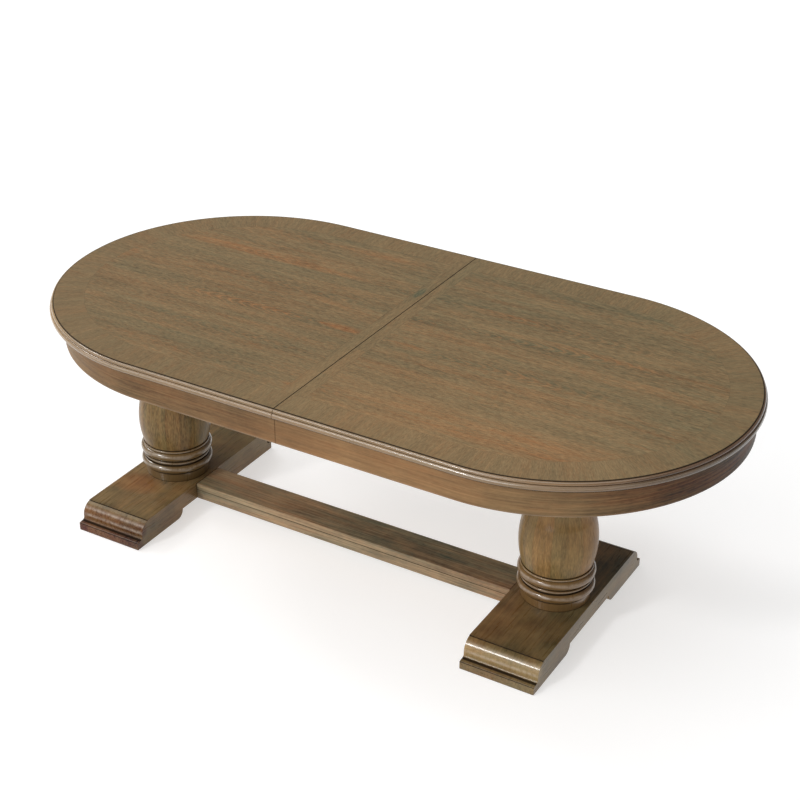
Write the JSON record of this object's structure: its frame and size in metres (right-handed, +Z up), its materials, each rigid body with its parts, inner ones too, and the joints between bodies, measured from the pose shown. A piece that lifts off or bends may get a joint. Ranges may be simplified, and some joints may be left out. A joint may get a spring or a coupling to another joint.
{
  "type": "extending dining table",
  "caption": "Racetrack-shaped wooden dining table whose halves slide apart for a leaf, on turned columns, arched sled feet and a low flat stretcher.",
  "frame": {"origin": "on the floor, under the middle of the closed top; the base stands 122 mm towards -X of it", "axes": "+X along the table to the half that slides least, +Y to the back, +Z up"},
  "size_m": [2.1218, 1.12, 0.775],
  "materials": {
    "top_veneer": "satin, weathered",
    "edge_wood": "satin, weathered",
    "base_wood": "satin, weathered",
    "hidden_wood": "waxed, unstained",
    "zinc_steel": "zinc plated",
    "glide_nylon": "matte"
  },
  "bodies": {
    "base": {"left_foot": "base_wood", "right_foot": "base_wood", "left_column": "base_wood", "right_column": "base_wood", "left_bearer": "hidden_wood", "right_bearer": "hidden_wood", "stretcher": "base_wood", "front_fixed_slide": "hidden_wood", "back_fixed_slide": "hidden_wood", "column_keys": "hidden_wood", "foot_glides": "glide_nylon"},
    "left_top": {"left_top_panel": "top_veneer", "left_edge_moulding": "edge_wood", "left_front_apron": "edge_wood", "left_back_apron": "edge_wood", "left_end_apron": "edge_wood", "left_cross_rail": "hidden_wood", "left_front_slide": "hidden_wood", "left_back_slide": "hidden_wood", "left_stop_keys": "hidden_wood", "left_glue_blocks": "hidden_wood", "latch_plates": "zinc_steel"},
    "right_top": {"right_top_panel": "top_veneer", "right_edge_moulding": "edge_wood", "right_front_apron": "edge_wood", "right_back_apron": "edge_wood", "right_end_apron": "edge_wood", "right_cross_rail": "hidden_wood", "right_front_slide": "hidden_wood", "right_back_slide": "hidden_wood", "right_stop_keys": "hidden_wood", "right_glue_blocks": "hidden_wood", "seam_tongues": "hidden_wood", "latch_keepers": "zinc_steel"},
    "front_latch": {"front_latch": "zinc_steel"},
    "back_latch": {"back_latch": "zinc_steel"}
  },
  "joints": [
    {"name": "left_slide", "type": "slide", "parent": "base", "child": "left_top", "axis": [-1, 0, 0], "range_m": [0, 0.377]},
    {"name": "right_slide", "type": "slide", "parent": "base", "child": "right_top", "axis": [1, 0, 0], "range_m": [0, 0.133]},
    {"name": "front_latch_turn", "type": "hinge", "parent": "left_top", "child": "front_latch", "pos_m": [-0.07, -0.40875, 0.7487], "axis": [0, 0, -1], "range_deg": [0, 90]},
    {"name": "back_latch_turn", "type": "hinge", "parent": "left_top", "child": "back_latch", "pos_m": [-0.07, 0.40875, 0.7487], "axis": [0, 0, 1], "range_deg": [0, 90]}
  ]
}
